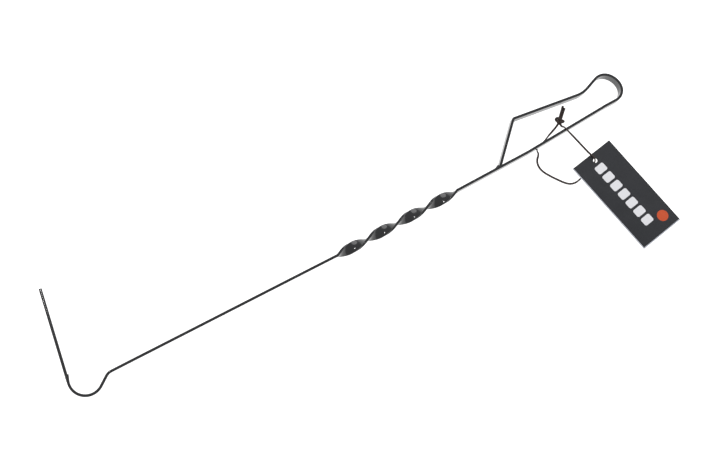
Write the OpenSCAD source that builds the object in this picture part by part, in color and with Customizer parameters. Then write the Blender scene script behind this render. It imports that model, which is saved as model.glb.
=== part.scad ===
// Marshmallow roasting fork for a camp fire. One flat steel bar is bent on edge into a hook, a
// twisted shank and a closed handle. A wire tine is welded to the hook's end, and a card tag is
// tied round the handle's lower arm.
// X runs along the shank towards the handle and Z is up. The fork lies on its side, so the bar's
// width stands upright. Every arm is a run of rows, each [straight length, turn, bend radius].

/* [Bar] */
// Width of the flat bar, which stands upright
bar_w = 12; // [10:0.5:16]
// Thickness of the flat bar
bar_t = 3; // [2.5:0.5:4]
// Height of the shank's lower edge over the ground, which leaves room for the tag's cord
lift = 1.5; // [1.5:0.5:4]

/* [Hook] */
// Bend radius of the hook, at the middle of the bar
hook_r = 18; // [14:1:24]
// Angle that the hook turns through
hook_turn = 146; // [120:1:160]
// Straight length of bar past the hook's bend
hook_end = 6.5; // [4:0.5:12]
// Angle of the small bend that carries the hook below the shank
neck_turn = 36; // [24:1:50]
// Bend radius of that small bend
neck_r = 12; // [8:1:16]
// Straight length between the small bend and the hook
neck_len = 11.5; // [6:0.5:20]

/* [Tine] */
// Diameter of the wire
tine_d = 3.5; // [2.5:0.5:4]
// Length of the tine past the bar's end
tine_len = 93; // [60:1:130]
// Angle by which the tine leans out from the bar's end
tine_lean = 10; // [6:1:14]
// Distance of the wire's axis from the middle of the bar, at the bar's end
tine_offset = 1.4; // [1:0.1:1.4]
// Length of the foot that laps the bar
foot_len = 8; // [6:0.5:10]

/* [Shank] */
// Straight length between the hook and the twist
front_len = 269; // [180:1:360]
// Length of the twisted part
twist_len = 153; // [120:1:220]
// Half turns of the twist
half_turns = 4; // [2:2:8]
// Angle by which the twist and the handle turn off the front of the shank
shank_kink = 1.2; // [0:0.1:3]
// Straight length from the twist to the handle's lower arm
rear_len = 93; // [80:1:130]

/* [Handle] */
// Length of the lower arm
lower_arm = 106; // [88:1:130]
// Angle by which the lower arm rises from the shank
lower_rise = 2.5; // [0:0.5:6]
// Bend radius of the end loop, where it leaves the lower arm
loop_r_low = 14; // [10:0.5:18]
// Bend radius of the end loop, on the side furthest from the tine
loop_r_end = 20.5; // [16:0.5:26]
// Bend radius of the end loop, where it turns back to the upper arm
loop_r_high = 15.5; // [12:0.5:20]
// Straight length of the neck between the loop and the upper arm
loop_neck = 15; // [8:1:25]
// Length of the upper arm
upper_arm = 79; // [65:1:98]
// Inner corner angle where the upper arm turns down to the shank
corner_turn = 51.5; // [45:0.5:65]

/* [Tag] */
// Width of the card
tag_w = 55; // [40:1:70]
// Length of the card
tag_len = 119; // [80:1:140]
// Thickness of the card
tag_t = 0.5; // [0.4:0.1:1]
// Diameter of the hole in the card
tag_hole_d = 5; // [4:0.5:8]
// Distance from the hole's middle to the card's top edge
hole_edge = 8.5; // [6:0.5:14]
// Distance from the hole's middle to the middle of the card's width
hole_side = 1.6; // [0:0.1:4]
// Diameter of the cord
cord_d = 1.4; // [1:0.1:1.4]

/* [Hidden] */
$fn = 64;

steel = [0.16, 0.165, 0.17];
weld_steel = [0.2, 0.2, 0.2];
cord_brown = [0.31, 0.26, 0.25];
card_grey = [0.23, 0.23, 0.25];

fit_gap = 0.05;        // between the front shank's end and the twist, which meet at a slight angle
soft_gap = 0.3;        // between the card and the cord
weld_leg = 2.4;        // leg of the bead at the left arm
foot_weld_r = 1;       // radius of the beads along the tine's foot
tip_chamfer = 0.4;     // at the tine's blunt tip
foot_ease = 0.2;       // how much thinner the foot is, on its radius
foot_past = 0.6;       // how far the thinner foot runs past the bar's end
loop_lead = 12.5;      // straight length between the lower arm and the end loop
weld_back = 0.75;      // share of the hook's straight end that the tine's beads run along
weld_bulge = 0.45;     // middle of the handle's bead, as a share of its leg
arm_bend_r = 60;       // bend radius at both ends of the lower arm
upper_bend_r = 32;     // bend radius between the loop's neck and the upper arm
corner_r = 3;          // bend radius of the sharp corner
twist_step = 7.5;      // degrees of twist in each slice
loop_turns = [87.5, 52, 60.5];    // angles of the end loop's three bends
upper_bend = 27.5;     // angle of the bend between the loop's neck and the upper arm
bend_step = 4;         // degrees between the points of a bend

// A pose is [x, y, heading] in the plane of the bar's bends.
function moved(p, s) = [p[0] + s * cos(p[2]), p[1] + s * sin(p[2]), p[2]];
function turned(p, a, r) =
    let (k = sign(a), cx = p[0] - k * r * sin(p[2]), cy = p[1] + k * r * cos(p[2]))
    [cx + k * r * sin(p[2] + a), cy - k * r * cos(p[2] + a), p[2] + a];
function pose_at(p, rows, n) =
    n == 0 ? p : let (q = pose_at(p, rows, n - 1), row = rows[n - 1])
    turned(moved(q, row[0]), row[1], row[2]);
function beside(p, s) = [p[0] - s * sin(p[2]), p[1] + s * cos(p[2])];
// The poses along a run, close together on its bends.
function outline(p, rows) = [
    p,
    for (i = [0 : len(rows) - 1])
        let (row = rows[i], q = moved(pose_at(p, rows, i), row[0]), n = ceil(abs(row[1]) / bend_step))
        each [
            if (row[0] > 0) q,
            if (n > 0) for (k = [1 : n]) turned(q, row[1] * k / n, row[2])
        ]
];

// The hook, from the front of the shank back to the bar's end.
hook_start = [0, 0, 180];
hook_rows = [
    [0, neck_turn, neck_r],
    [neck_len, -hook_turn, hook_r],
    [hook_end, 0, 1]
];
bar_end = pose_at(hook_start, hook_rows, 3);

// The rear of the shank and the handle, from the end of the twist.
rear_start = [twist_len, 0, 0];
rear_rows = [
    [rear_len, lower_rise, arm_bend_r],
    [lower_arm, -lower_rise, arm_bend_r]
];
loop_rows = [
    [loop_lead, loop_turns[0], loop_r_low],
    [0, loop_turns[1], loop_r_end],
    [0, loop_turns[2], loop_r_high],
    [loop_neck, 0, 1]
];
upper_rows = [
    [0, -upper_bend, upper_bend_r],
    [upper_arm, 0, 1]
];
loop_start = pose_at(rear_start, rear_rows, 2);
upper_start = pose_at(loop_start, loop_rows, 4);
corner_start = pose_at(upper_start, upper_rows, 2);
corner_end = turned(corner_start, corner_turn, corner_r);
// The left arm runs on through the shank's upper face, where it is cut off.
left_len = (corner_end[1] + bar_t) / -sin(corner_end[2]);
left_rows = [[0, corner_turn, corner_r], [left_len, 0, 1]];
left_foot = moved(corner_end, (corner_end[1] - bar_t / 2) / -sin(corner_end[2]));

// The fork rests on the hook's lower side and on the handle's upper arm, so both lean a little.
axis_h = bar_w / 2 + lift;
function lean(depth) = atan2(depth, bar_w / 2) - acos(axis_h / norm([depth, bar_w / 2]));
hook_ys = [for (q = outline(hook_start, hook_rows)) q[1]];
handle_line = concat(outline(loop_start, loop_rows), outline(upper_start, upper_rows),
    outline(corner_start, left_rows));
handle_ys = [for (q = handle_line) q[1]];
front_lean = lean(-min(hook_ys) + bar_t / 2);
rear_lean = lean(max(handle_ys) + bar_t / 2);

// The origin is under the middle of the box round the bar and the tine.
tine_heading = bar_end[2] + tine_lean;
tine_root = moved([bar_end[0], bar_end[1], bar_end[2] + 90], tine_offset);
tine_tip = moved([tine_root[0], tine_root[1], tine_heading], tine_len);
hook_low_x = min([for (q = outline(hook_start, hook_rows)) q[0]]) - bar_t / 2;
handle_xs = [for (q = handle_line) q[0] * cos(shank_kink) - q[1] * sin(shank_kink)];
handle_high_x = front_len + max(handle_xs) + bar_t / 2;
// A leaning bar's lower edge or upper edge reaches a little further than its middle.
hook_low_y = min(hook_ys) * cos(front_lean) - bar_t / 2 - bar_w / 2 * sin(front_lean);
tine_high_y = tine_tip[1] * cos(front_lean) + tine_d / 2 * cos(tine_heading);
middle = [(hook_low_x + handle_high_x) / 2, (hook_low_y + tine_high_y) / 2, 0];

module front_pose() {
    translate([0, 0, axis_h]) rotate([front_lean, 0, 0]) children();
}

module rear_pose() {
    translate([front_len, 0, axis_h]) rotate([0, 0, shank_kink]) rotate([-rear_lean, 0, 0]) children();
}

// A run of bar along its rows, with its width along Z.
module bar_run(p, rows) {
    line = outline(p, rows);
    n = len(line) - 1;
    translate([0, 0, -bar_w / 2]) linear_extrude(height = bar_w) polygon([
        for (i = [0 : n]) beside(line[i], bar_t / 2),
        for (i = [0 : n]) beside(line[n - i], -bar_t / 2)
    ]);
}

// Places its children with their Z along the way from one point to another.
module between(a, b) {
    v = b - a;
    translate(a) rotate([0, acos(v[2] / norm(v)), atan2(v[1], v[0])]) children();
}

module rod(a, b, d) {
    between(a, b) cylinder(d = d, h = norm(b - a));
}

module hook_bend() {
    color(steel) front_pose() bar_run(hook_start, hook_rows);
}

module front_shank() {
    color(steel) front_pose()
        translate([0, -bar_t / 2, -bar_w / 2]) cube([front_len, bar_t, bar_w]);
}

// The bar's corners are drawn in to a circle of the bar's own width along the twist.
module twisted_shank() {
    corner_x = sqrt(pow(bar_w / 2, 2) - pow(bar_t / 2, 2));
    turn = 180 * half_turns + front_lean + rear_lean;
    color(steel)
        translate([front_len, 0, axis_h]) rotate([0, 0, shank_kink]) rotate([front_lean, 0, 0])
            rotate([0, 90, 0]) translate([0, 0, fit_gap])
                linear_extrude(height = twist_len - fit_gap, twist = turn, slices = round(turn / twist_step),
                    segments = 6)
                    polygon([
                        for (k = [-1, 1]) each [
                            [k * corner_x, k * bar_t / 2],
                            [k * bar_w / 2, 0],
                            [k * corner_x, -k * bar_t / 2]
                        ]
                    ]);
}

module rear_shank() {
    color(steel) rear_pose() bar_run(rear_start, rear_rows);
}

module end_loop() {
    color(steel) rear_pose() bar_run(loop_start, loop_rows);
}

module upper_arm() {
    color(steel) rear_pose() bar_run(upper_start, upper_rows);
}

module left_arm() {
    color(steel) rear_pose() difference() {
        bar_run(corner_start, left_rows);
        translate([left_foot[0] - bar_w, -bar_w + bar_t / 2, -bar_w]) cube([2 * bar_w, bar_w, 2 * bar_w]);
    }
}

// The whole wire, a little thinner along its foot, where the scale was ground off for the weld.
module wire() {
    tip = [tine_tip[0], tine_tip[1], 0];
    root = [tine_root[0], tine_root[1], 0];
    foot = root - foot_len * (tip - root) / tine_len;
    r = tine_d / 2;
    h = foot_len + tine_len;
    between(foot, tip) rotate_extrude() polygon([
        [0, 0], [r - foot_ease, 0], [r - foot_ease, foot_len + foot_past], [r, foot_len + foot_past],
        [r, h - tip_chamfer], [r - tip_chamfer, h], [0, h]
    ]);
}

// The wire's foot is ground away where it laps the bar's outer face.
module tine() {
    color(steel) front_pose() difference() {
        wire();
        bar_run(hook_start, hook_rows);
        // What is left on the inner side of the bar is ground off flush.
        translate([bar_end[0], bar_end[1], -bar_w]) rotate(bar_end[2])
            translate([-2 * foot_len, -bar_w, 0]) cube([2 * foot_len, bar_w, 2 * bar_w]);
    }
}

// Two beads, above and below the tine's foot, that stop just short of the bar's end.
module tine_weld() {
    edge = moved([bar_end[0], bar_end[1], bar_end[2] + 90], bar_t / 2);
    front = moved([edge[0], edge[1], bar_end[2]], -fit_gap);
    back = moved([edge[0], edge[1], bar_end[2]], -weld_back * hook_end);
    color(weld_steel) front_pose() difference() {
        for (z = [-tine_d / 2, tine_d / 2])
            rod([back[0], back[1], z], [front[0], front[1], z], 2 * foot_weld_r);
        bar_run(hook_start, hook_rows);
        wire();
    }
}

// A bead in the outer corner where the left arm meets the shank.
module handle_weld() {
    arm = corner_end[2] - 180;
    outer = [left_foot[0] - bar_t / 2 / sin(arm), left_foot[1]];
    bulge = weld_bulge * weld_leg * [cos((180 + arm) / 2), sin((180 + arm) / 2)];
    color(weld_steel) rear_pose() translate([outer[0], outer[1], -bar_w / 2])
        linear_extrude(height = bar_w)
            polygon([[0, 0], weld_leg * [cos(arm), sin(arm)], bulge, [-weld_leg, 0]]);
}

// The card and the cord are placed from the start of the handle's lower arm. The card lies on the
// cord, which passes up through its hole.
tag_hole = [69.3, -37];
tag_turn = -76.6;      // heading of the card's long side, away from the hole
knot_at = [55, 21.4];
tails_to = [68, 33.5];
knot_d = 4.8;
knot_len = 8;
over_z = lift + bar_w; // the arm's upper edge, which the cord goes over

// The cord's middle line: from the knot under the handle's lower arm, round to the card, up
// through its hole, and back over the arm to the knot.
cord_points = [
    [54, 20.4, 1.9], [51, 18.7, 1.1], [47, 16.8, 0.75], [42, 14.9, 0.75], [36, 12.6, 0.75],
    [30.5, 10.2, 0.75], [26, 8.2, 0.75], [22, 6.2, 0.75], [19, 3.6, 0.75], [17, 0.6, 0.75],
    [14, -2, 0.75], [10.8, -5, 0.75], [8.4, -9, 0.75], [7.6, -13.5, 0.75], [8.2, -18, 0.75],
    [10.5, -23.5, 0.75], [15.3, -30.8, 0.75], [21, -38.2, 0.75], [25, -43, 0.75], [30, -47, 0.75],
    [36, -48.6, 0.75], [42, -47.9, 0.75], [48, -46, 0.75], [54.5, -43.6, 0.75], [61, -41.2, 0.75],
    [64.4, -39.9, 0.75], [67, -38.7, 0.8], [68.4, -38, 1.15], [69.4, -36.9, 1.95],
    [69.7, -35.6, 2.75], [69.6, -34, 3.2], [69, -32, 3.4], [67.6, -28.8, 3.5], [66, -24.5, 3.8],
    [63.6, -17.5, over_z - 8.1], [60.3, -9.5, over_z - 5.1], [56.6, -1.4, over_z - 1.4],
    [54.4, 3.6, over_z + 0.5], [53.2, 6.8, over_z + 1.1], [52.5, 9.8, over_z + 0.9],
    [52.3, 11.8, over_z - 0.7], [52.5, 12.8, over_z - 3.5], [52.9, 13.6, over_z - 6.3],
    [53.4, 15, over_z - 8.9], [54, 17.4, 2.9], [54.7, 20.4, 2.4]
];

function unit(v) = v / norm(v);
function curve(a, b, c, d, t) =
    (2 * b + (c - a) * t + (2 * a - 5 * b + 4 * c - d) * t * t + (3 * b - a - 3 * c + d) * t * t * t) / 2;
function smooth(p, n) = [
    for (i = [0 : len(p) - 2], k = [0 : n - 1])
        curve(p[max(i - 1, 0)], p[i], p[i + 1], p[min(i + 2, len(p) - 1)], k / n),
    p[len(p) - 1]
];
function tangent(q, i) = unit(q[min(i + 1, len(q) - 1)] - q[max(i - 1, 0)]);
function sides(q, i = 0, last = [0, 0, 0], found = []) =
    i == len(q) ? found :
    let (t = tangent(q, i), s = unit(i == 0 ? cross(t, [0, 0, 1]) : last - (last * t) * t))
    sides(q, i + 1, s, concat(found, [s]));

// A tube of eight sides along a line.
module tube(q, d) {
    n = 8;
    side = sides(q);
    rings = [
        for (i = [0 : len(q) - 1], j = [0 : n - 1])
            q[i] + d / 2 * (cos(360 * j / n) * side[i] + sin(360 * j / n) * cross(tangent(q, i), side[i]))
    ];
    polyhedron(rings, [
        [for (j = [0 : n - 1]) j],
        for (i = [0 : len(q) - 2], j = [0 : n - 1])
            [i * n + j, (i + 1) * n + j, (i + 1) * n + (j + 1) % n, i * n + (j + 1) % n],
        [for (j = [0 : n - 1]) len(q) * n - 1 - j]
    ]);
}

module by_handle() {
    translate([front_len + twist_len + rear_len, 0, 0]) children();
}

module tag_card() {
    color(card_grey) by_handle()
        translate([tag_hole[0], tag_hole[1], cord_d + soft_gap]) rotate(tag_turn)
            difference() {
                translate([-hole_edge, hole_side - tag_w / 2, 0]) cube([tag_len, tag_w, tag_t]);
                translate([0, 0, -tag_t]) cylinder(d = tag_hole_d, h = 3 * tag_t);
            }
}

module tag_cord() {
    color(cord_brown) by_handle() tube(smooth(cord_points, 2), cord_d);
}

module cord_knot() {
    heading = atan2(tails_to[1] - knot_at[1], tails_to[0] - knot_at[0]);
    color(cord_brown) by_handle()
        translate([knot_at[0], knot_at[1], knot_d / 2]) rotate([0, 90, heading])
            rotate_extrude() intersection() {
                translate([0, -knot_len / 2]) square([knot_d / 2, knot_len]);
                translate([knot_d / 2 - knot_len, 0]) circle(r = knot_len);
            }
}

// The cord's two ends, side by side.
module cord_tails() {
    along = unit(tails_to - knot_at);
    across = [-along[1], along[0]];
    start = knot_at + knot_len / 2 * along;
    color(cord_brown) by_handle() for (k = [-1, 1]) {
        shift = k * (cord_d / 2 + fit_gap) * across;
        root = start + shift;
        tip = tails_to + k * along + shift;
        rod([root[0], root[1], knot_d / 2], [tip[0], tip[1], cord_d / 2 + fit_gap], cord_d);
    }
}

translate(-middle) {
    hook_bend();
    front_shank();
    twisted_shank();
    rear_shank();
    end_loop();
    upper_arm();
    left_arm();
    tine();
    tine_weld();
    handle_weld();
    tag_card();
    tag_cord();
    cord_knot();
    cord_tails();
}
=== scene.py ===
import math
import bmesh
import bpy
from mathutils import Matrix, Vector, noise


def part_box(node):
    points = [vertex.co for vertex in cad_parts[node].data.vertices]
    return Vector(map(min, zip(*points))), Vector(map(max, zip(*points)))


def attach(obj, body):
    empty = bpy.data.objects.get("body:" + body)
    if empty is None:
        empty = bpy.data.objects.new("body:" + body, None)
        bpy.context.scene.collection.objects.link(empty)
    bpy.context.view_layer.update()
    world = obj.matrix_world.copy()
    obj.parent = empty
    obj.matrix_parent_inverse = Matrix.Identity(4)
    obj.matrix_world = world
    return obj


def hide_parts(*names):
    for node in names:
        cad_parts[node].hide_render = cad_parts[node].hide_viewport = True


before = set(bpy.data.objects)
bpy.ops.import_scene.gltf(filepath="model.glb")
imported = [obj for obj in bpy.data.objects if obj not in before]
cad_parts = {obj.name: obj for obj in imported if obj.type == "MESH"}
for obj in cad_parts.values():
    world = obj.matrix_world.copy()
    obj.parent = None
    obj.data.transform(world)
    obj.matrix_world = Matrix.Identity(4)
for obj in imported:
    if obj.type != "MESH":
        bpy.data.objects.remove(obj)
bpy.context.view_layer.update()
scene = bpy.context.scene
mm = 0.001
smoothAngle = math.radians(40)
seamGap = 0.005

# The fork's own frame, in millimetres: x runs along the shank from the hook's neck, y is square to it, z is up.
shankLow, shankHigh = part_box("front_shank")
shankStart = Vector((shankLow.x, (shankLow.y + shankHigh.y) / 2, 0))


def place(x, y, z):
    return shankStart + Vector((x, y, z)) * mm


# The camera looks down on the fork from the hook's side.
camera = {"from": (-27.8, -143.4, 1499.9), "aim": (295.1, 12.7, 6), "imageUp": (0.4434, 0.8765, 0.1874),
          "lens": 72.15, "sensor": 36, "farClip": 20}

backward = (place(*camera["from"]) - place(*camera["aim"])).normalized()
imageRight = Vector(camera["imageUp"]).cross(backward).normalized()
imageUp = backward.cross(imageRight)
cameraData = bpy.data.cameras.new("camera")
cameraData.lens = camera["lens"]
cameraData.sensor_width = camera["sensor"]
cameraData.clip_end = camera["farClip"]
cameraObject = bpy.data.objects.new("camera", cameraData)
scene.collection.objects.link(cameraObject)
cameraObject.matrix_world = Matrix.Translation(place(*camera["from"])) @ Matrix(
    (imageRight, imageUp, backward)).transposed().to_4x4()
scene.camera = cameraObject
print("camera set")


def linear(hexText):
    def channel(text):
        c = int(text, 16) / 255
        return c / 12.92 if c <= 0.04045 else ((c + 0.055) / 1.055) ** 2.4
    return (channel(hexText[1:3]), channel(hexText[3:5]), channel(hexText[5:7]), 1)


def addNode(tree, kind, inputs=None, **settings):
    made = tree.nodes.new(kind)
    for name, value in settings.items():
        setattr(made, name, value)
    for name, value in (inputs or {}).items():
        if isinstance(value, bpy.types.NodeSocket):
            tree.links.new(value, made.inputs[name])
        else:
            made.inputs[name].default_value = value
    return made


def newMaterial(name):
    made = bpy.data.materials.new(name)
    made.use_nodes = True
    made.node_tree.nodes.clear()
    output = made.node_tree.nodes.new("ShaderNodeOutputMaterial")
    return made, made.node_tree, output


def selectNothing():
    if bpy.context.object and bpy.context.object.mode != "OBJECT":
        bpy.ops.object.mode_set(mode="OBJECT")
    bpy.ops.object.select_all(action="DESELECT")


def makeActive(piece):
    selectNothing()
    piece.select_set(True)
    bpy.context.view_layer.objects.active = piece


def applyModifier(piece, kind, **settings):
    makeActive(piece)
    modifier = piece.modifiers.new(kind.lower(), kind)
    for name, value in settings.items():
        setattr(modifier, name, value)
    bpy.ops.object.modifier_apply(modifier=modifier.name)


def settle(piece):
    makeActive(piece)
    bpy.ops.object.transform_apply(location=True, rotation=True, scale=True)
    bpy.ops.object.mode_set(mode="EDIT")
    bpy.ops.mesh.select_all(action="SELECT")
    bpy.ops.mesh.remove_doubles(threshold=seamGap * mm)
    bpy.ops.mesh.normals_make_consistent(inside=False)
    bpy.ops.object.mode_set(mode="OBJECT")


def joinAs(name, pieces):
    makeActive(pieces[0])
    for other in pieces[1:]:
        other.select_set(True)
    bpy.ops.object.join()
    bpy.context.object.name = name
    return bpy.context.object


def turnAbout(centre, degrees, axis):
    return Matrix.Translation(centre) @ Matrix.Rotation(math.radians(degrees), 4, axis) @ Matrix.Translation(-centre)


def smoothLine(points, parts):
    # A Catmull-Rom curve through the points.
    line = []
    for i in range(len(points) - 1):
        a, b = points[max(i - 1, 0)], points[i]
        c, d = points[i + 1], points[min(i + 2, len(points) - 1)]
        for k in range(parts):
            t = k / parts
            line.append((2 * b + (c - a) * t + (2 * a - 5 * b + 4 * c - d) * t * t
                         + (3 * b - a - 3 * c + d) * t * t * t) / 2)
    line.append(points[-1])
    return line


def tubeAlong(name, line, radii, sides):
    # Rings carried along the line without twisting, with a UV in millimetres along and round it.
    mesh = bmesh.new()
    uvLayer = mesh.loops.layers.uv.new("UVMap")
    rings, travelled, along = [], [], 0
    side = None
    for i, p in enumerate(line):
        heading = (line[min(i + 1, len(line) - 1)] - line[max(i - 1, 0)]).normalized()
        if side is None:
            side = heading.cross(Vector((0, 0, 1)) if abs(heading.z) < 0.9 else Vector((1, 0, 0))).normalized()
        side = (side - heading * side.dot(heading)).normalized()
        other = heading.cross(side)
        if i:
            along += (p - line[i - 1]).length
        travelled.append(along)
        rings.append([mesh.verts.new(p + radii[i] * (side * math.cos(2 * math.pi * j / sides)
                                                     + other * math.sin(2 * math.pi * j / sides)))
                      for j in range(sides)])
    girth = 2 * math.pi * radii[0] / mm
    for i in range(len(rings) - 1):
        for j in range(sides):
            k = (j + 1) % sides
            face = mesh.faces.new((rings[i][j], rings[i][k], rings[i + 1][k], rings[i + 1][j]))
            face.smooth = True
            for loop, (u, v) in zip(face.loops, ((i, j), (i, j + 1), (i + 1, j + 1), (i + 1, j))):
                loop[uvLayer].uv = (travelled[u] / mm, v / sides * girth)
    for ring in (list(reversed(rings[0])), rings[-1]):
        mesh.faces.new(ring)
    bmesh.ops.recalc_face_normals(mesh, faces=mesh.faces)
    data = bpy.data.meshes.new(name)
    mesh.to_mesh(data)
    mesh.free()
    piece = bpy.data.objects.new(name, data)
    scene.collection.objects.link(piece)
    return piece


# Each point of the route is x, y, z and the cord's thickness, which is squeezed under the bar and the card.
cord = {"diameter": 2.4, "sides": 12, "smoothing": 5,
        "route": [
            (569, 20.4, 1.9, 2.2), (566, 18.7, 1.35, 2.4), (562, 16.8, 1.22, 2.4), (557, 14.9, 1.22, 2.4),
            (551, 12.6, 1.1, 2.1), (545.5, 10.2, 0.8, 1.5), (540.5, 8.6, 0.74, 1.35), (535.5, 7, 0.74, 1.35),
            (531.6, 5.2, 0.74, 1.35), (530, 2.6, 0.8, 1.5), (529.8, 0, 1.0, 1.95), (528, -2.8, 1.22, 2.4),
            (525.4, -5.4, 1.22, 2.4), (523.4, -9, 1.22, 2.4), (522.6, -13.5, 1.22, 2.4), (523.2, -18, 1.22, 2.4),
            (525.5, -23.5, 1.22, 2.4), (530.3, -30.8, 1.22, 2.4), (536, -38.2, 1.22, 2.4), (540, -43, 1.22, 2.4),
            (545, -47, 1.22, 2.4), (551, -48.6, 1.15, 2.25), (557, -47.9, 1.02, 1.95), (563, -46, 0.9, 1.7),
            (569.5, -43.6, 0.87, 1.65), (576, -41.2, 0.87, 1.65), (579.4, -39.9, 0.87, 1.65), (582, -38.7, 1.0, 1.65),
            (583.4, -38, 1.55, 1.6), (584.3, -36.9, 2.65, 1.6), (584.5, -35.6, 3.65, 1.65), (584.5, -34, 4.3, 1.8),
            (584, -32, 4.6, 2.1), (582.6, -28.8, 4.75, 2.3), (581, -24.5, 5.0, 2.4), (578.6, -17.5, 6.1, 2.4),
            (575.3, -9.5, 8.8, 2.4), (571.6, -1.4, 12.3, 2.4), (569.4, 3.6, 14.3, 2.0), (568.2, 6.8, 14.75, 1.8),
            (567.5, 9.7, 14.7, 1.7), (567.3, 11.7, 13.5, 1.8), (567.5, 12.9, 10.8, 2.0), (567.9, 13.9, 7.7, 2.2),
            (568.4, 15.2, 5.0, 2.4), (569, 17.4, 3.2, 2.4), (569.7, 20.4, 2.5, 2.2)],
        "knotMiddle": (570, 21.4, 2.7), "knotAlong": 2.1, "knotAcross": 3.4, "knotRise": 1.2, "knotSteps": 72,
        "knotStrands": ((0, 0), (0.5, 24)), "tailsEnd": (583, 33.5, 1.75), "tailsStart": 2, "tailGap": 1.1,
        "tailSpread": 1.2, "tailStagger": 0.8, "tailBow": 0.05, "tailSag": 0.15, "tailParts": 8, "fray": 0.18,
        "frayRings": 4}

# Waxed cotton cord: a dull brown twisted from fine strands, so it shows slanting ridges and no shine.
cordMaterial, tree, output = newMaterial("waxedCottonCord")
cordUv = addNode(tree, "ShaderNodeTexCoord")
strandSlant = addNode(tree, "ShaderNodeMapping", {"Vector": cordUv.outputs["UV"], "Rotation": (0, 0, math.radians(35))})
strands = addNode(tree, "ShaderNodeTexWave", {"Vector": strandSlant.outputs[0], "Scale": 0.42, "Distortion": 0.4,
                                              "Detail": 1}, wave_type="BANDS", bands_direction="X")
fuzz = addNode(tree, "ShaderNodeTexNoise", {"Vector": cordUv.outputs["UV"], "Scale": 3, "Detail": 3})
strandTone = addNode(tree, "ShaderNodeMix", {"Factor": strands.outputs["Fac"], 6: linear("#261e1c"),
                                             7: linear("#3e322f")}, data_type="RGBA")
cordTone = addNode(tree, "ShaderNodeMix", {"Factor": fuzz.outputs["Fac"], 6: strandTone.outputs[2],
                                           7: linear("#312723")}, data_type="RGBA")
strandRelief = addNode(tree, "ShaderNodeBump", {"Height": strands.outputs["Fac"], "Distance": 0.0001, "Strength": 0.8})
cordShader = addNode(tree, "ShaderNodeBsdfPrincipled", {"Base Color": cordTone.outputs[2], "Roughness": 0.8,
                                                        "Normal": strandRelief.outputs[0]})
tree.links.new(cordShader.outputs[0], output.inputs[0])

cordRows = smoothLine([Vector(p) for p in cord["route"]], cord["smoothing"])
cordLine = [place(*row[:3]) for row in cordRows]
cordRadius = cord["diameter"] / 2 * mm
cordPiece = tubeAlong("tagCord", cordLine, [row[3] / 2 * mm for row in cordRows], cord["sides"])
cordPiece.data.materials.append(cordMaterial)

# The knot is an overhand turn in the doubled cord, so two strands run through it side by side.
knotHeading = (Vector(cord["tailsEnd"]) - Vector(cord["knotMiddle"])).normalized()
knotSide = Vector((-knotHeading.y, knotHeading.x, 0)).normalized()
knotUp = knotHeading.cross(knotSide)
knotPieces = []
for shift, turn in cord["knotStrands"]:
    turns = []
    for k in range(cord["knotSteps"] + 1):
        t = 2 * math.pi * k / cord["knotSteps"] + math.radians(turn)
        along = cord["knotAlong"] * (math.cos(t) - 2 * math.cos(2 * t)) / 2 + shift
        across = cord["knotAcross"] * (math.sin(t) + 2 * math.sin(2 * t)) / 2
        above = -cord["knotRise"] * math.sin(3 * t)
        local = knotHeading * along + knotSide * across + knotUp * above
        turns.append(place(*(Vector(cord["knotMiddle"]) + local)))
    knotPieces.append(tubeAlong("knotTurn", turns, [cordRadius] * len(turns), cord["sides"]))
knotPiece = joinAs("cordKnot", knotPieces)
knotPiece.data.materials.append(cordMaterial)

# Both tails leave the knot side by side, and each swells where its cut end frays.
tailPieces = []
for side in (-1, 1):
    start = Vector(cord["knotMiddle"]) + knotHeading * cord["tailsStart"] + knotSide * side * cord["tailGap"]
    end = (Vector(cord["tailsEnd"]) + knotSide * side * cord["tailSpread"]
           + knotHeading * side * cord["tailStagger"])
    middle = (start + end) / 2 + knotSide * side * cord["tailBow"] + Vector((0, 0, -cord["tailSag"]))
    tailLine = smoothLine([place(*p) for p in (start, middle, end)], cord["tailParts"])
    frayFrom = len(tailLine) - 1 - cord["frayRings"]
    frays = [cordRadius * (1 + cord["fray"] * max(0, i - frayFrom) / cord["frayRings"])
             for i in range(len(tailLine))]
    tailPieces.append(tubeAlong("tail", tailLine, frays, cord["sides"]))
tailsPiece = joinAs("cordTails", tailPieces)
tailsPiece.data.materials.append(cordMaterial)

for piece, node in ((cordPiece, "tag_cord"), (knotPiece, "cord_knot"), (tailsPiece, "cord_tails")):
    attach(piece, "fork")
    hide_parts(node)


# The bar is one length of flat steel, bent on edge and twisted.
bar = {"width": 12, "thickness": 3, "edge": 0.25, "edgeSteps": 3, "columns": 8, "bendStep": 4, "axisHeight": 7.5,
       "endPose": (-41.6286, 17.7753, 70), "hookEnd": 6.5, "hookRadius": 18, "hookTurn": 146, "neckLength": 11.5,
       "neckRadius": 12, "neckTurn": 36, "frontLength": 269, "frontLean": 6.3053, "twistLength": 153,
       "twistSteps": 120, "halfTurns": 4, "kink": 1.2, "rearLean": 2.0306, "rearLength": 93, "armBendRadius": 60,
       "armRise": 2.5, "lowerArm": 106, "loopLead": 12.5, "loop": ((87.5, 14), (52, 20.5), (60.5, 15.5)),
       "loopNeck": 15, "upperBend": (-27.5, 32), "upperArm": 79, "corner": (51.5, 3), "leftArm": 62,
       "armFoot": (211.1, 1.5), "footSink": 0.1, "cutReach": 0.6, "cutSlack": 1}

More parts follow.
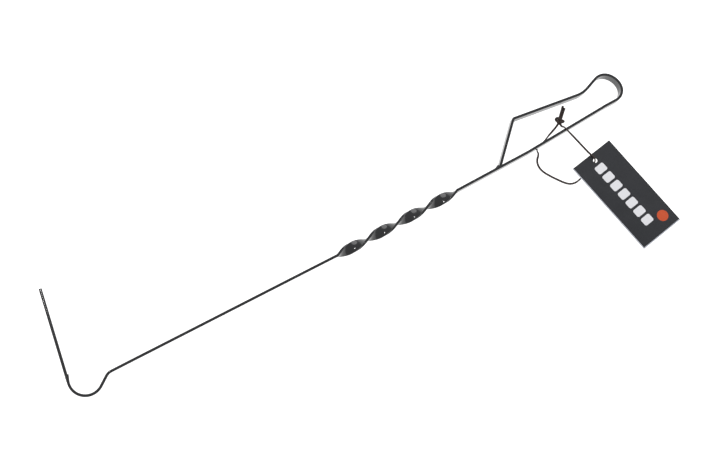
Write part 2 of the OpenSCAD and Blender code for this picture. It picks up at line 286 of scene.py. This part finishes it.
# Black stove enamel on steel: an even near-black skin with a faint orange-peel ripple, smooth enough to mirror
# the pale floor in its upright walls and a small lamp as a dot on each leaf of the twist.
paintMaterial, tree, output = newMaterial("blackStoveEnamel")
objectPlace = addNode(tree, "ShaderNodeTexCoord")
peel = addNode(tree, "ShaderNodeTexNoise", {"Vector": objectPlace.outputs["Object"], "Scale": 700, "Detail": 2})
patches = addNode(tree, "ShaderNodeTexNoise", {"Vector": objectPlace.outputs["Object"], "Scale": 45, "Detail": 4})
paintTone = addNode(tree, "ShaderNodeMix", {"Factor": patches.outputs["Fac"], 6: linear("#18191c"),
                                            7: linear("#222325")}, data_type="RGBA")
paintRoughness = addNode(tree, "ShaderNodeMapRange", {"Value": patches.outputs["Fac"], "To Min": 0.13, "To Max": 0.18})
peelRelief = addNode(tree, "ShaderNodeBump", {"Height": peel.outputs["Fac"], "Distance": 0.00001, "Strength": 0.3})
paintShader = addNode(tree, "ShaderNodeBsdfPrincipled", {"Base Color": paintTone.outputs[2], "IOR": 1.5,
                                                         "Roughness": paintRoughness.outputs[0],
                                                         "Normal": peelRelief.outputs[0]})
tree.links.new(paintShader.outputs[0], output.inputs[0])


def poseOf(x, y, heading):
    return Matrix.Translation(place(x, y, bar["axisHeight"])) @ Matrix.Rotation(math.radians(heading), 4, "Z")


def runOn(where, length):
    step = where.to_3x3() @ Vector((length * mm, 0, 0))
    bpy.ops.mesh.extrude_region_move(TRANSFORM_OT_translate={"value": step})
    return Matrix.Translation(step) @ where


def bendOn(where, turn, radius):
    centre = where @ Vector((0, math.copysign(radius * mm, turn), 0))
    axis = where.to_3x3() @ Vector((0, 0, 1))
    # Spin turns clockwise for a positive angle.
    bpy.ops.mesh.spin(steps=max(2, math.ceil(abs(turn) / bar["bendStep"])), angle=-math.radians(turn),
                      center=centre, axis=axis)
    return turnAbout(centre, turn, axis) @ where


def turnWhole(piece, angle, axis, centre):
    bpy.ops.object.mode_set(mode="OBJECT")
    piece.data.transform(turnAbout(centre, angle, axis))
    bpy.ops.object.mode_set(mode="EDIT")


# The section: a plane 12 by 3 mm with its four corners rounded, cut into columns across its width.
where = poseOf(*bar["endPose"]) @ Matrix.Rotation(math.radians(180), 4, "Z")
selectNothing()
bpy.ops.mesh.primitive_plane_add(size=1)
barPiece = bpy.context.object
barPiece.name = "barOfSteel"
barPiece.scale = (bar["width"] * mm, bar["thickness"] * mm, 1)
bpy.ops.object.transform_apply(location=False, rotation=False, scale=True)
bpy.ops.object.mode_set(mode="EDIT")
bpy.ops.mesh.select_all(action="SELECT")
bpy.ops.mesh.bevel(offset=bar["edge"] * mm, offset_type="OFFSET", segments=bar["edgeSteps"], affect="VERTICES",
                   profile=0.5)
for k in range(1, bar["columns"]):
    bpy.ops.mesh.select_all(action="SELECT")
    bpy.ops.mesh.bisect(plane_co=((k / bar["columns"] - 0.5) * bar["width"] * mm, 0, 0), plane_no=(1, 0, 0))
bpy.ops.object.mode_set(mode="OBJECT")
# Stood on edge at the hook's end, square to the bar's heading.
barPiece.data.transform(where @ Matrix.Rotation(math.radians(90), 4, "Y"))
bpy.ops.object.mode_set(mode="EDIT")
bpy.ops.mesh.select_all(action="SELECT")

# Hook and front shank, bent flat and then leaned as the fork lies.
where = runOn(where, bar["hookEnd"])
where = bendOn(where, bar["hookTurn"], bar["hookRadius"])
where = runOn(where, bar["neckLength"])
where = bendOn(where, -bar["neckTurn"], bar["neckRadius"])
where = runOn(where, bar["frontLength"])
twistStart = place(bar["frontLength"], 0, bar["axisHeight"])
print("hook and front shank bent")
turnWhole(barPiece, bar["frontLean"], "X", twistStart)
# The twist and the handle run off at a slight angle: the front is turned back while they are made.
turnWhole(barPiece, -bar["kink"], "Z", twistStart)
where = Matrix.Translation(twistStart)
roll = -(180 * bar["halfTurns"] + bar["frontLean"] + bar["rearLean"])
for k in range(bar["twistSteps"]):
    where = runOn(where, bar["twistLength"] / bar["twistSteps"])
    # With no window, rotate turns the other way.
    bpy.ops.transform.rotate(value=-math.radians(roll / bar["twistSteps"]), orient_axis="X", orient_type="GLOBAL",
                             center_override=where.translation)
where = where @ Matrix.Rotation(math.radians(-bar["rearLean"]), 4, "X")
handleStart = where.copy()
where = runOn(where, bar["rearLength"])
where = bendOn(where, bar["armRise"], bar["armBendRadius"])
where = runOn(where, bar["lowerArm"])
where = bendOn(where, -bar["armRise"], bar["armBendRadius"])
where = runOn(where, bar["loopLead"])
for turn, radius in bar["loop"]:
    where = bendOn(where, turn, radius)
where = runOn(where, bar["loopNeck"])
where = bendOn(where, *bar["upperBend"])
where = runOn(where, bar["upperArm"])
where = bendOn(where, *bar["corner"])
where = runOn(where, bar["leftArm"])
# The left arm is cut off at the shank's upper face, with a little left to sink into the weld.
footAlong, footAside = bar["armFoot"][0] - bar["twistLength"], bar["armFoot"][1]
footPoint = handleStart @ (Vector((footAlong, footAside - bar["footSink"], 0)) * mm)
faceNormal = handleStart.to_3x3() @ Vector((0, 1, 0))
armHeading = where.to_3x3() @ Vector((1, 0, 0))
barMesh = bmesh.from_edit_mesh(barPiece.data)
for face in barMesh.faces:
    reaches = [v.co - where.translation for v in face.verts]
    aside = max((r - armHeading * r.dot(armHeading)).length for r in reaches)
    back = min(r.dot(armHeading) for r in reaches)
    face.select = aside < bar["width"] * bar["cutReach"] * mm and back > -(bar["leftArm"] + bar["cutSlack"]) * mm
bmesh.update_edit_mesh(barPiece.data)
bpy.ops.mesh.bisect(plane_co=footPoint, plane_no=faceNormal, use_fill=True, clear_inner=True)
bpy.ops.object.mode_set(mode="OBJECT")
kinked = turnAbout(twistStart, bar["kink"], "Z")
barPiece.data.transform(kinked)
settle(barPiece)
bpy.ops.object.shade_smooth_by_angle(angle=smoothAngle)
applyModifier(barPiece, "WEIGHTED_NORMAL", mode="FACE_AREA_WITH_ANGLE", keep_sharp=True)
barPiece.data.materials.append(paintMaterial)
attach(barPiece, "fork")
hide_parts("hook_bend", "front_shank", "twisted_shank", "rear_shank", "end_loop", "upper_arm", "left_arm")
print("bar bent:", len(barPiece.data.polygons), "faces")


# The tine is a length of wire whose foot lies along the hook's end.
tine = {"diameter": 3.5, "sides": 32, "root": (-42.9442, 18.2542), "tip": (-26.7949, 109.841), "foot": 8,
        "chamfer": 0.4, "chamferSteps": 4, "tipReach": 0.01}


def leaned(x, y, z=0):
    # A point of the hook's plane, leaned as the front shank is.
    lean = math.radians(bar["frontLean"])
    return place(x, y * math.cos(lean) - z * math.sin(lean),
                 bar["axisHeight"] + y * math.sin(lean) + z * math.cos(lean))


tineRoot, tineTip = leaned(*tine["root"]), leaned(*tine["tip"])
tineHeading = (tineTip - tineRoot).normalized()
tineFoot = tineRoot - tineHeading * tine["foot"] * mm
selectNothing()
bpy.ops.mesh.primitive_cylinder_add(vertices=tine["sides"], radius=tine["diameter"] / 2 * mm,
                                    depth=(tineTip - tineFoot).length, location=(tineTip + tineFoot) / 2,
                                    rotation=tineHeading.to_track_quat("Z", "Y").to_euler())
tinePiece = bpy.context.object
tinePiece.name = "tineOfWire"
settle(tinePiece)
bpy.ops.object.mode_set(mode="EDIT")
bpy.ops.mesh.select_all(action="DESELECT")
bpy.ops.mesh.select_mode(type="EDGE")
wire = bmesh.from_edit_mesh(tinePiece.data)
for edge in wire.edges:
    edge.select = all((v.co - tineTip).dot(tineHeading) > -tine["tipReach"] * mm for v in edge.verts)
bmesh.update_edit_mesh(tinePiece.data)
bpy.ops.mesh.bevel(offset=tine["chamfer"] * mm, segments=tine["chamferSteps"], affect="EDGES")
bpy.ops.mesh.select_mode(type="FACE")
bpy.ops.object.mode_set(mode="OBJECT")
bpy.ops.object.shade_smooth_by_angle(angle=smoothAngle)
tinePiece.data.materials.append(paintMaterial)
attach(tinePiece, "fork")
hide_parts("tine")
print("tine made")


weld = {"tineRadius": 0.95, "tineRun": 5.2, "tineInset": 0.4, "handleRadius": 1.35, "handleTurn": 44,
        "handleAside": 0.35, "handleOff": 0.45, "handleInset": 0.9, "ripple": 0.12, "pitch": 0.9, "sides": 16,
        "ringsPerRipple": 8, "leastRings": 24, "wobble": 0.06, "wobbleTurns": (9, 7), "taperFrom": 0.75,
        "taperLeast": 0.02}


def beadAlong(name, start, end, radius):
    # A weld bead: overlapping ripples along a short line, drawn in at both ends.
    length = (end - start).length
    ripples = length / mm / weld["pitch"]
    count = max(weld["leastRings"], round(ripples * weld["ringsPerRipple"]))
    turnX, turnY = weld["wobbleTurns"]
    line, radii = [], []
    for k in range(count + 1):
        t = k / count
        wobble = Vector((math.sin(turnX * t), math.cos(turnY * t), 0)) * weld["wobble"] * mm
        line.append(start.lerp(end, t) + wobble)
        ripple = 1 + weld["ripple"] * abs(math.sin(math.pi * t * ripples))
        past = max(0, abs(2 * t - 1) - weld["taperFrom"]) / (1 - weld["taperFrom"])
        taper = math.sqrt(max(weld["taperLeast"], 1 - past * past))
        radii.append(radius * mm * ripple * taper)
    return tubeAlong(name, line, radii, weld["sides"])


# Weld metal under the same enamel: lumpy ripples with a duller skin.
beadMaterial, tree, output = newMaterial("coatedWeldBead")
beadPlace = addNode(tree, "ShaderNodeTexCoord")
beadPits = addNode(tree, "ShaderNodeTexNoise", {"Vector": beadPlace.outputs["Object"], "Scale": 1400, "Detail": 3})
beadTone = addNode(tree, "ShaderNodeMix", {"Factor": beadPits.outputs["Fac"], 6: linear("#26272a"),
                                           7: linear("#3a3a3c")}, data_type="RGBA")
beadRelief = addNode(tree, "ShaderNodeBump", {"Height": beadPits.outputs["Fac"], "Distance": 0.0002, "Strength": 0.6})
beadShader = addNode(tree, "ShaderNodeBsdfPrincipled", {"Base Color": beadTone.outputs[2], "IOR": 1.5,
                                                        "Roughness": 0.55, "Normal": beadRelief.outputs[0]})
tree.links.new(beadShader.outputs[0], output.inputs[0])

endX, endY, endTurn = bar["endPose"]
endAlong = Vector((math.cos(math.radians(endTurn)), math.sin(math.radians(endTurn)), 0))
endSide = Vector((-endAlong.y, endAlong.x, 0))
tineBeads = []
for side in (-1, 1):
    front = (Vector((endX, endY, side * tine["diameter"] / 2)) + endSide * bar["thickness"] / 2
             - endAlong * weld["tineInset"])
    back = front - endAlong * (weld["tineRun"] - weld["tineInset"])
    tineBeads.append(beadAlong("bead", leaned(*back), leaned(*front), weld["tineRadius"]))
tineBead = joinAs("tineWeldBeads", tineBeads)

# In the outer corner where the left arm meets the shank.
cornerX = footAlong - bar["thickness"] / 2 / math.sin(math.radians(weld["handleTurn"])) - weld["handleAside"]
low, high = (handleStart @ (Vector((cornerX, footAside + weld["handleOff"],
                                    side * (bar["width"] / 2 - weld["handleInset"]))) * mm) for side in (-1, 1))
handleBead = beadAlong("handleWeldBead", kinked @ low, kinked @ high, weld["handleRadius"])
for piece, node in ((tineBead, "tine_weld"), (handleBead, "handle_weld")):
    piece.data.materials.append(beadMaterial)
    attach(piece, "fork")
    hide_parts(node)
print("welds made")


# The tag is a punched card, placed by its hole. Its print is measured from its top edge and its middle.
tag = {"hole": (584.3, -37), "heading": -76.6, "length": 119, "width": 55, "thickness": 0.5, "holeEdge": 8.5,
       "holeDiameter": 5, "height": 2.55, "farHeight": 2.9, "bow": 0.9, "holeAside": 1.6, "skew": 0.055,
       "firstBlock": 14.6, "blockPitch": 12.9, "blockLength": 9.8, "blockWidth": 12.6, "blockRound": 2.2, "blocks": 7,
       "paintedShadowBand": 1.3, "rowAcross": -2.8, "disc": (104.2, 14.5), "discRadius": 6.6, "uvUnit": 100, "cells": (58, 28),
       "holeSides": 48, "punchDepth": 10, "skewFrom": 5, "skewRun": 10, "dent": 0.25, "dentSize": (22, 16),
       "dentSlice": 3.1, "dentFrom": 4, "dentRun": 20, "edgeAngle": 30}

# Coated charcoal card over a white core: matt with a faint sheen, soft dents, flat white and orange ink.
cardMaterial, tree, output = newMaterial("coatedCard")
cardUv = addNode(tree, "ShaderNodeTexCoord")
cardPlace = addNode(tree, "ShaderNodeSeparateXYZ", {0: cardUv.outputs["UV"]})


def mathOn(operation, first, second=0):
    return addNode(tree, "ShaderNodeMath", {0: first, 1: second}, operation=operation).outputs[0]


# One UV unit is a tenth of a metre: along from the top edge, and across from the middle.
alongCard = mathOn("MULTIPLY", cardPlace.outputs["X"], tag["uvUnit"])
acrossCard = mathOn("MULTIPLY", cardPlace.outputs["Y"], tag["uvUnit"])


def pastStraight(offset, size):
    # How far a point lies past the straight part of a rounded side.
    past = mathOn("SUBTRACT", mathOn("ABSOLUTE", offset), size / 2 - tag["blockRound"])
    return mathOn("MAXIMUM", past, 0)


fromFirst = mathOn("SUBTRACT", alongCard, tag["firstBlock"])
inPitch = mathOn("FLOORED_MODULO", fromFirst, tag["blockPitch"])
cornerAlong = pastStraight(mathOn("SUBTRACT", inPitch, tag["blockLength"] / 2), tag["blockLength"])
cornerAcross = pastStraight(mathOn("SUBTRACT", acrossCard, tag["rowAcross"]), tag["blockWidth"])
corner = addNode(tree, "ShaderNodeCombineXYZ", {0: cornerAlong, 1: cornerAcross})
cornerDistance = addNode(tree, "ShaderNodeVectorMath", {0: corner.outputs[0]}, operation="LENGTH")
inBlock = mathOn("LESS_THAN", cornerDistance.outputs["Value"], tag["blockRound"])
inRow = mathOn("MULTIPLY", mathOn("GREATER_THAN", fromFirst, 0),
               mathOn("LESS_THAN", fromFirst, tag["blocks"] * tag["blockPitch"]))
whiteInk = mathOn("MULTIPLY", inBlock, inRow)
cardPoint = addNode(tree, "ShaderNodeCombineXYZ", {0: alongCard, 1: acrossCard})
discDistance = addNode(tree, "ShaderNodeVectorMath", {0: cardPoint.outputs[0], 1: (*tag["disc"], 0)},
                       operation="DISTANCE")
orangeInk = mathOn("LESS_THAN", discDistance.outputs["Value"], tag["discRadius"])
cardObject = addNode(tree, "ShaderNodeTexCoord")
dents = addNode(tree, "ShaderNodeTexNoise", {"Vector": cardObject.outputs["Object"], "Scale": 45, "Detail": 3})
fibre = addNode(tree, "ShaderNodeTexNoise", {"Vector": cardObject.outputs["Object"], "Scale": 900, "Detail": 2})
cardTone = addNode(tree, "ShaderNodeMix", {"Factor": dents.outputs["Fac"], 6: linear("#181a1f"),
                                           7: linear("#212329")}, data_type="RGBA")
withWhite = addNode(tree, "ShaderNodeMix", {"Factor": whiteInk, 6: cardTone.outputs[2],
                                            7: linear("#dcdce0")}, data_type="RGBA")
withOrange = addNode(tree, "ShaderNodeMix", {"Factor": orangeInk, 6: withWhite.outputs[2],
                                             7: linear("#c1491c")}, data_type="RGBA")
# Past two edges the card carries a pale grey band with no print: painted shadow, standing in for the soft shadow that
# the lifted card casts on the floor there.
onPaintedShadowBand = mathOn("MAXIMUM", mathOn("LESS_THAN", acrossCard, -tag["width"] / 2),
                  mathOn("GREATER_THAN", alongCard, tag["length"]))
withPaintedShadowBand = addNode(tree, "ShaderNodeMix", {"Factor": onPaintedShadowBand, 6: withOrange.outputs[2],
                                             7: linear("#b4b7c0")}, data_type="RGBA")
dentRelief = addNode(tree, "ShaderNodeBump", {"Height": dents.outputs["Fac"], "Distance": 0.0012, "Strength": 0.35})
fibreRelief = addNode(tree, "ShaderNodeBump", {"Height": fibre.outputs["Fac"], "Distance": 0.00004, "Strength": 0.4,
                                               "Normal": dentRelief.outputs[0]})
cardShader = addNode(tree, "ShaderNodeBsdfPrincipled", {"Base Color": withPaintedShadowBand.outputs[2], "Roughness": 0.5,
                                                        "IOR": 1.45, "Normal": fibreRelief.outputs[0]})
tree.links.new(cardShader.outputs[0], output.inputs[0])

# Uncoated card core: white paper fibre, dull and a little uneven.
coreMaterial, tree, output = newMaterial("whiteCardCore")
corePlace = addNode(tree, "ShaderNodeTexCoord")
coreFibre = addNode(tree, "ShaderNodeTexNoise", {"Vector": corePlace.outputs["Object"], "Scale": 600, "Detail": 3})
coreTone = addNode(tree, "ShaderNodeMix", {"Factor": coreFibre.outputs["Fac"], 6: linear("#c9c8c4"),
                                           7: linear("#deddd9")}, data_type="RGBA")
coreShader = addNode(tree, "ShaderNodeBsdfPrincipled", {"Base Color": coreTone.outputs[2], "Roughness": 0.9})
tree.links.new(coreShader.outputs[0], output.inputs[0])

selectNothing()
bpy.ops.mesh.primitive_grid_add(x_subdivisions=tag["cells"][0], y_subdivisions=tag["cells"][1], size=1)
tagPiece = bpy.context.object
tagPiece.name = "tagCard"
# The card is made longer and wider by the band that carries the painted shadow.
tagPiece.scale = ((tag["length"] + tag["paintedShadowBand"]) * mm, (tag["width"] + tag["paintedShadowBand"]) * mm, 1)
tagPiece.location = (((tag["length"] + tag["paintedShadowBand"]) / 2 - tag["holeEdge"]) * mm,
                     (tag["holeAside"] - tag["paintedShadowBand"] / 2) * mm, 0)
bpy.ops.object.transform_apply(location=True, rotation=True, scale=True)
tagPiece.data.materials.append(cardMaterial)
tagPiece.data.materials.append(coreMaterial)
applyModifier(tagPiece, "SOLIDIFY", thickness=tag["thickness"] * mm, offset=1, material_offset=1,
              material_offset_rim=1)
selectNothing()
bpy.ops.mesh.primitive_cylinder_add(vertices=tag["holeSides"], radius=tag["holeDiameter"] / 2 * mm,
                                    depth=tag["punchDepth"] * mm)
punch = bpy.context.object
punch.data.materials.append(coreMaterial)
applyModifier(tagPiece, "BOOLEAN", operation="DIFFERENCE", object=punch, solver="EXACT", material_mode="TRANSFER")
bpy.data.objects.remove(punch)
settle(tagPiece)
tagUv = tagPiece.data.uv_layers.active or tagPiece.data.uv_layers.new(name="UVMap")
for face in tagPiece.data.polygons:
    for loop in face.loop_indices:
        at = tagPiece.data.vertices[tagPiece.data.loops[loop].vertex_index].co / mm
        tagUv.data[loop].uv = ((at.x + tag["holeEdge"]) / tag["uvUnit"], (at.y - tag["holeAside"]) / tag["uvUnit"])


def shareOf(distance, start, run):
    return min(1, max(0, (distance - start) / run))


# The hole's end lies on the cord and the far end a little higher, and the card bows a little across.
for vertex in tagPiece.data.vertices:
    x, y = vertex.co.x / mm, vertex.co.y / mm
    share = shareOf(x, 0, tag["length"] - tag["holeEdge"])
    ease = share * share * (3 - 2 * share)
    bowed = tag["bow"] * ease * (1 - (2 * (y - tag["holeAside"]) / tag["width"]) ** 2)
    # The card was cut a little out of square.
    vertex.co.x += tag["skew"] * y * mm * shareOf(abs(y) + abs(x), tag["skewFrom"], tag["skewRun"])
    dentPoint = Vector((x / tag["dentSize"][0], y / tag["dentSize"][1], tag["dentSlice"]))
    dented = tag["dent"] * noise.noise(dentPoint) * shareOf(x, tag["dentFrom"], tag["dentRun"])
    vertex.co.z += (tag["height"] + (tag["farHeight"] - tag["height"]) * ease + bowed + dented) * mm
tagPiece.data.transform(Matrix.Translation(place(*tag["hole"], 0))
                        @ Matrix.Rotation(math.radians(tag["heading"]), 4, "Z"))
makeActive(tagPiece)
bpy.ops.object.shade_smooth_by_angle(angle=math.radians(tag["edgeAngle"]))
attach(tagPiece, "tag")
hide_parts("tag_card")
print("tag made:", len(tagPiece.data.polygons), "faces")


studio = {"floor": 8, "paper": "#b0b0b0", "glow": 1.1, "sky": 0.62, "topPower": 40, "topSize": 2.4,
          "topPlace": (1.7, 1.5, 1.3), "lampPower": 4.5, "lampSize": 0.12, "lampPlace": (-0.33, 0.25, 1.45)}

# White paper floor, lit through from below like a light table, so that shadows stay faint.
floorMaterial, tree, output = newMaterial("litPaperFloor")
paper = addNode(tree, "ShaderNodeBsdfDiffuse", {"Color": linear(studio["paper"])})
glow = addNode(tree, "ShaderNodeEmission", {"Color": (1, 1, 1, 1), "Strength": studio["glow"]})
litPaper = addNode(tree, "ShaderNodeAddShader", {0: paper.outputs[0], 1: glow.outputs[0]})
tree.links.new(litPaper.outputs[0], output.inputs[0])
selectNothing()
bpy.ops.mesh.primitive_plane_add(size=studio["floor"], location=(0, 0, 0))
floor = bpy.context.object
floor.name = "floor"
floor.data.materials.append(floorMaterial)

world = bpy.data.worlds.new("softBox")
world.use_nodes = True
world.node_tree.nodes["Background"].inputs["Color"].default_value = (1, 1, 1, 1)
world.node_tree.nodes["Background"].inputs["Strength"].default_value = studio["sky"]
scene.world = world
for name, power, size, spot in (("topLight", studio["topPower"], studio["topSize"], studio["topPlace"]),
                                ("smallLamp", studio["lampPower"], studio["lampSize"], studio["lampPlace"])):
    light = bpy.data.lights.new(name, "AREA")
    light.energy = power
    light.shape = "DISK"
    light.size = size
    lightObject = bpy.data.objects.new(name, light)
    scene.collection.objects.link(lightObject)
    lightObject.location = spot
    lightObject.rotation_euler = (-Vector(spot)).to_track_quat("-Z", "Y").to_euler()
scene.view_settings.view_transform = "Standard"
print("floor and light set")
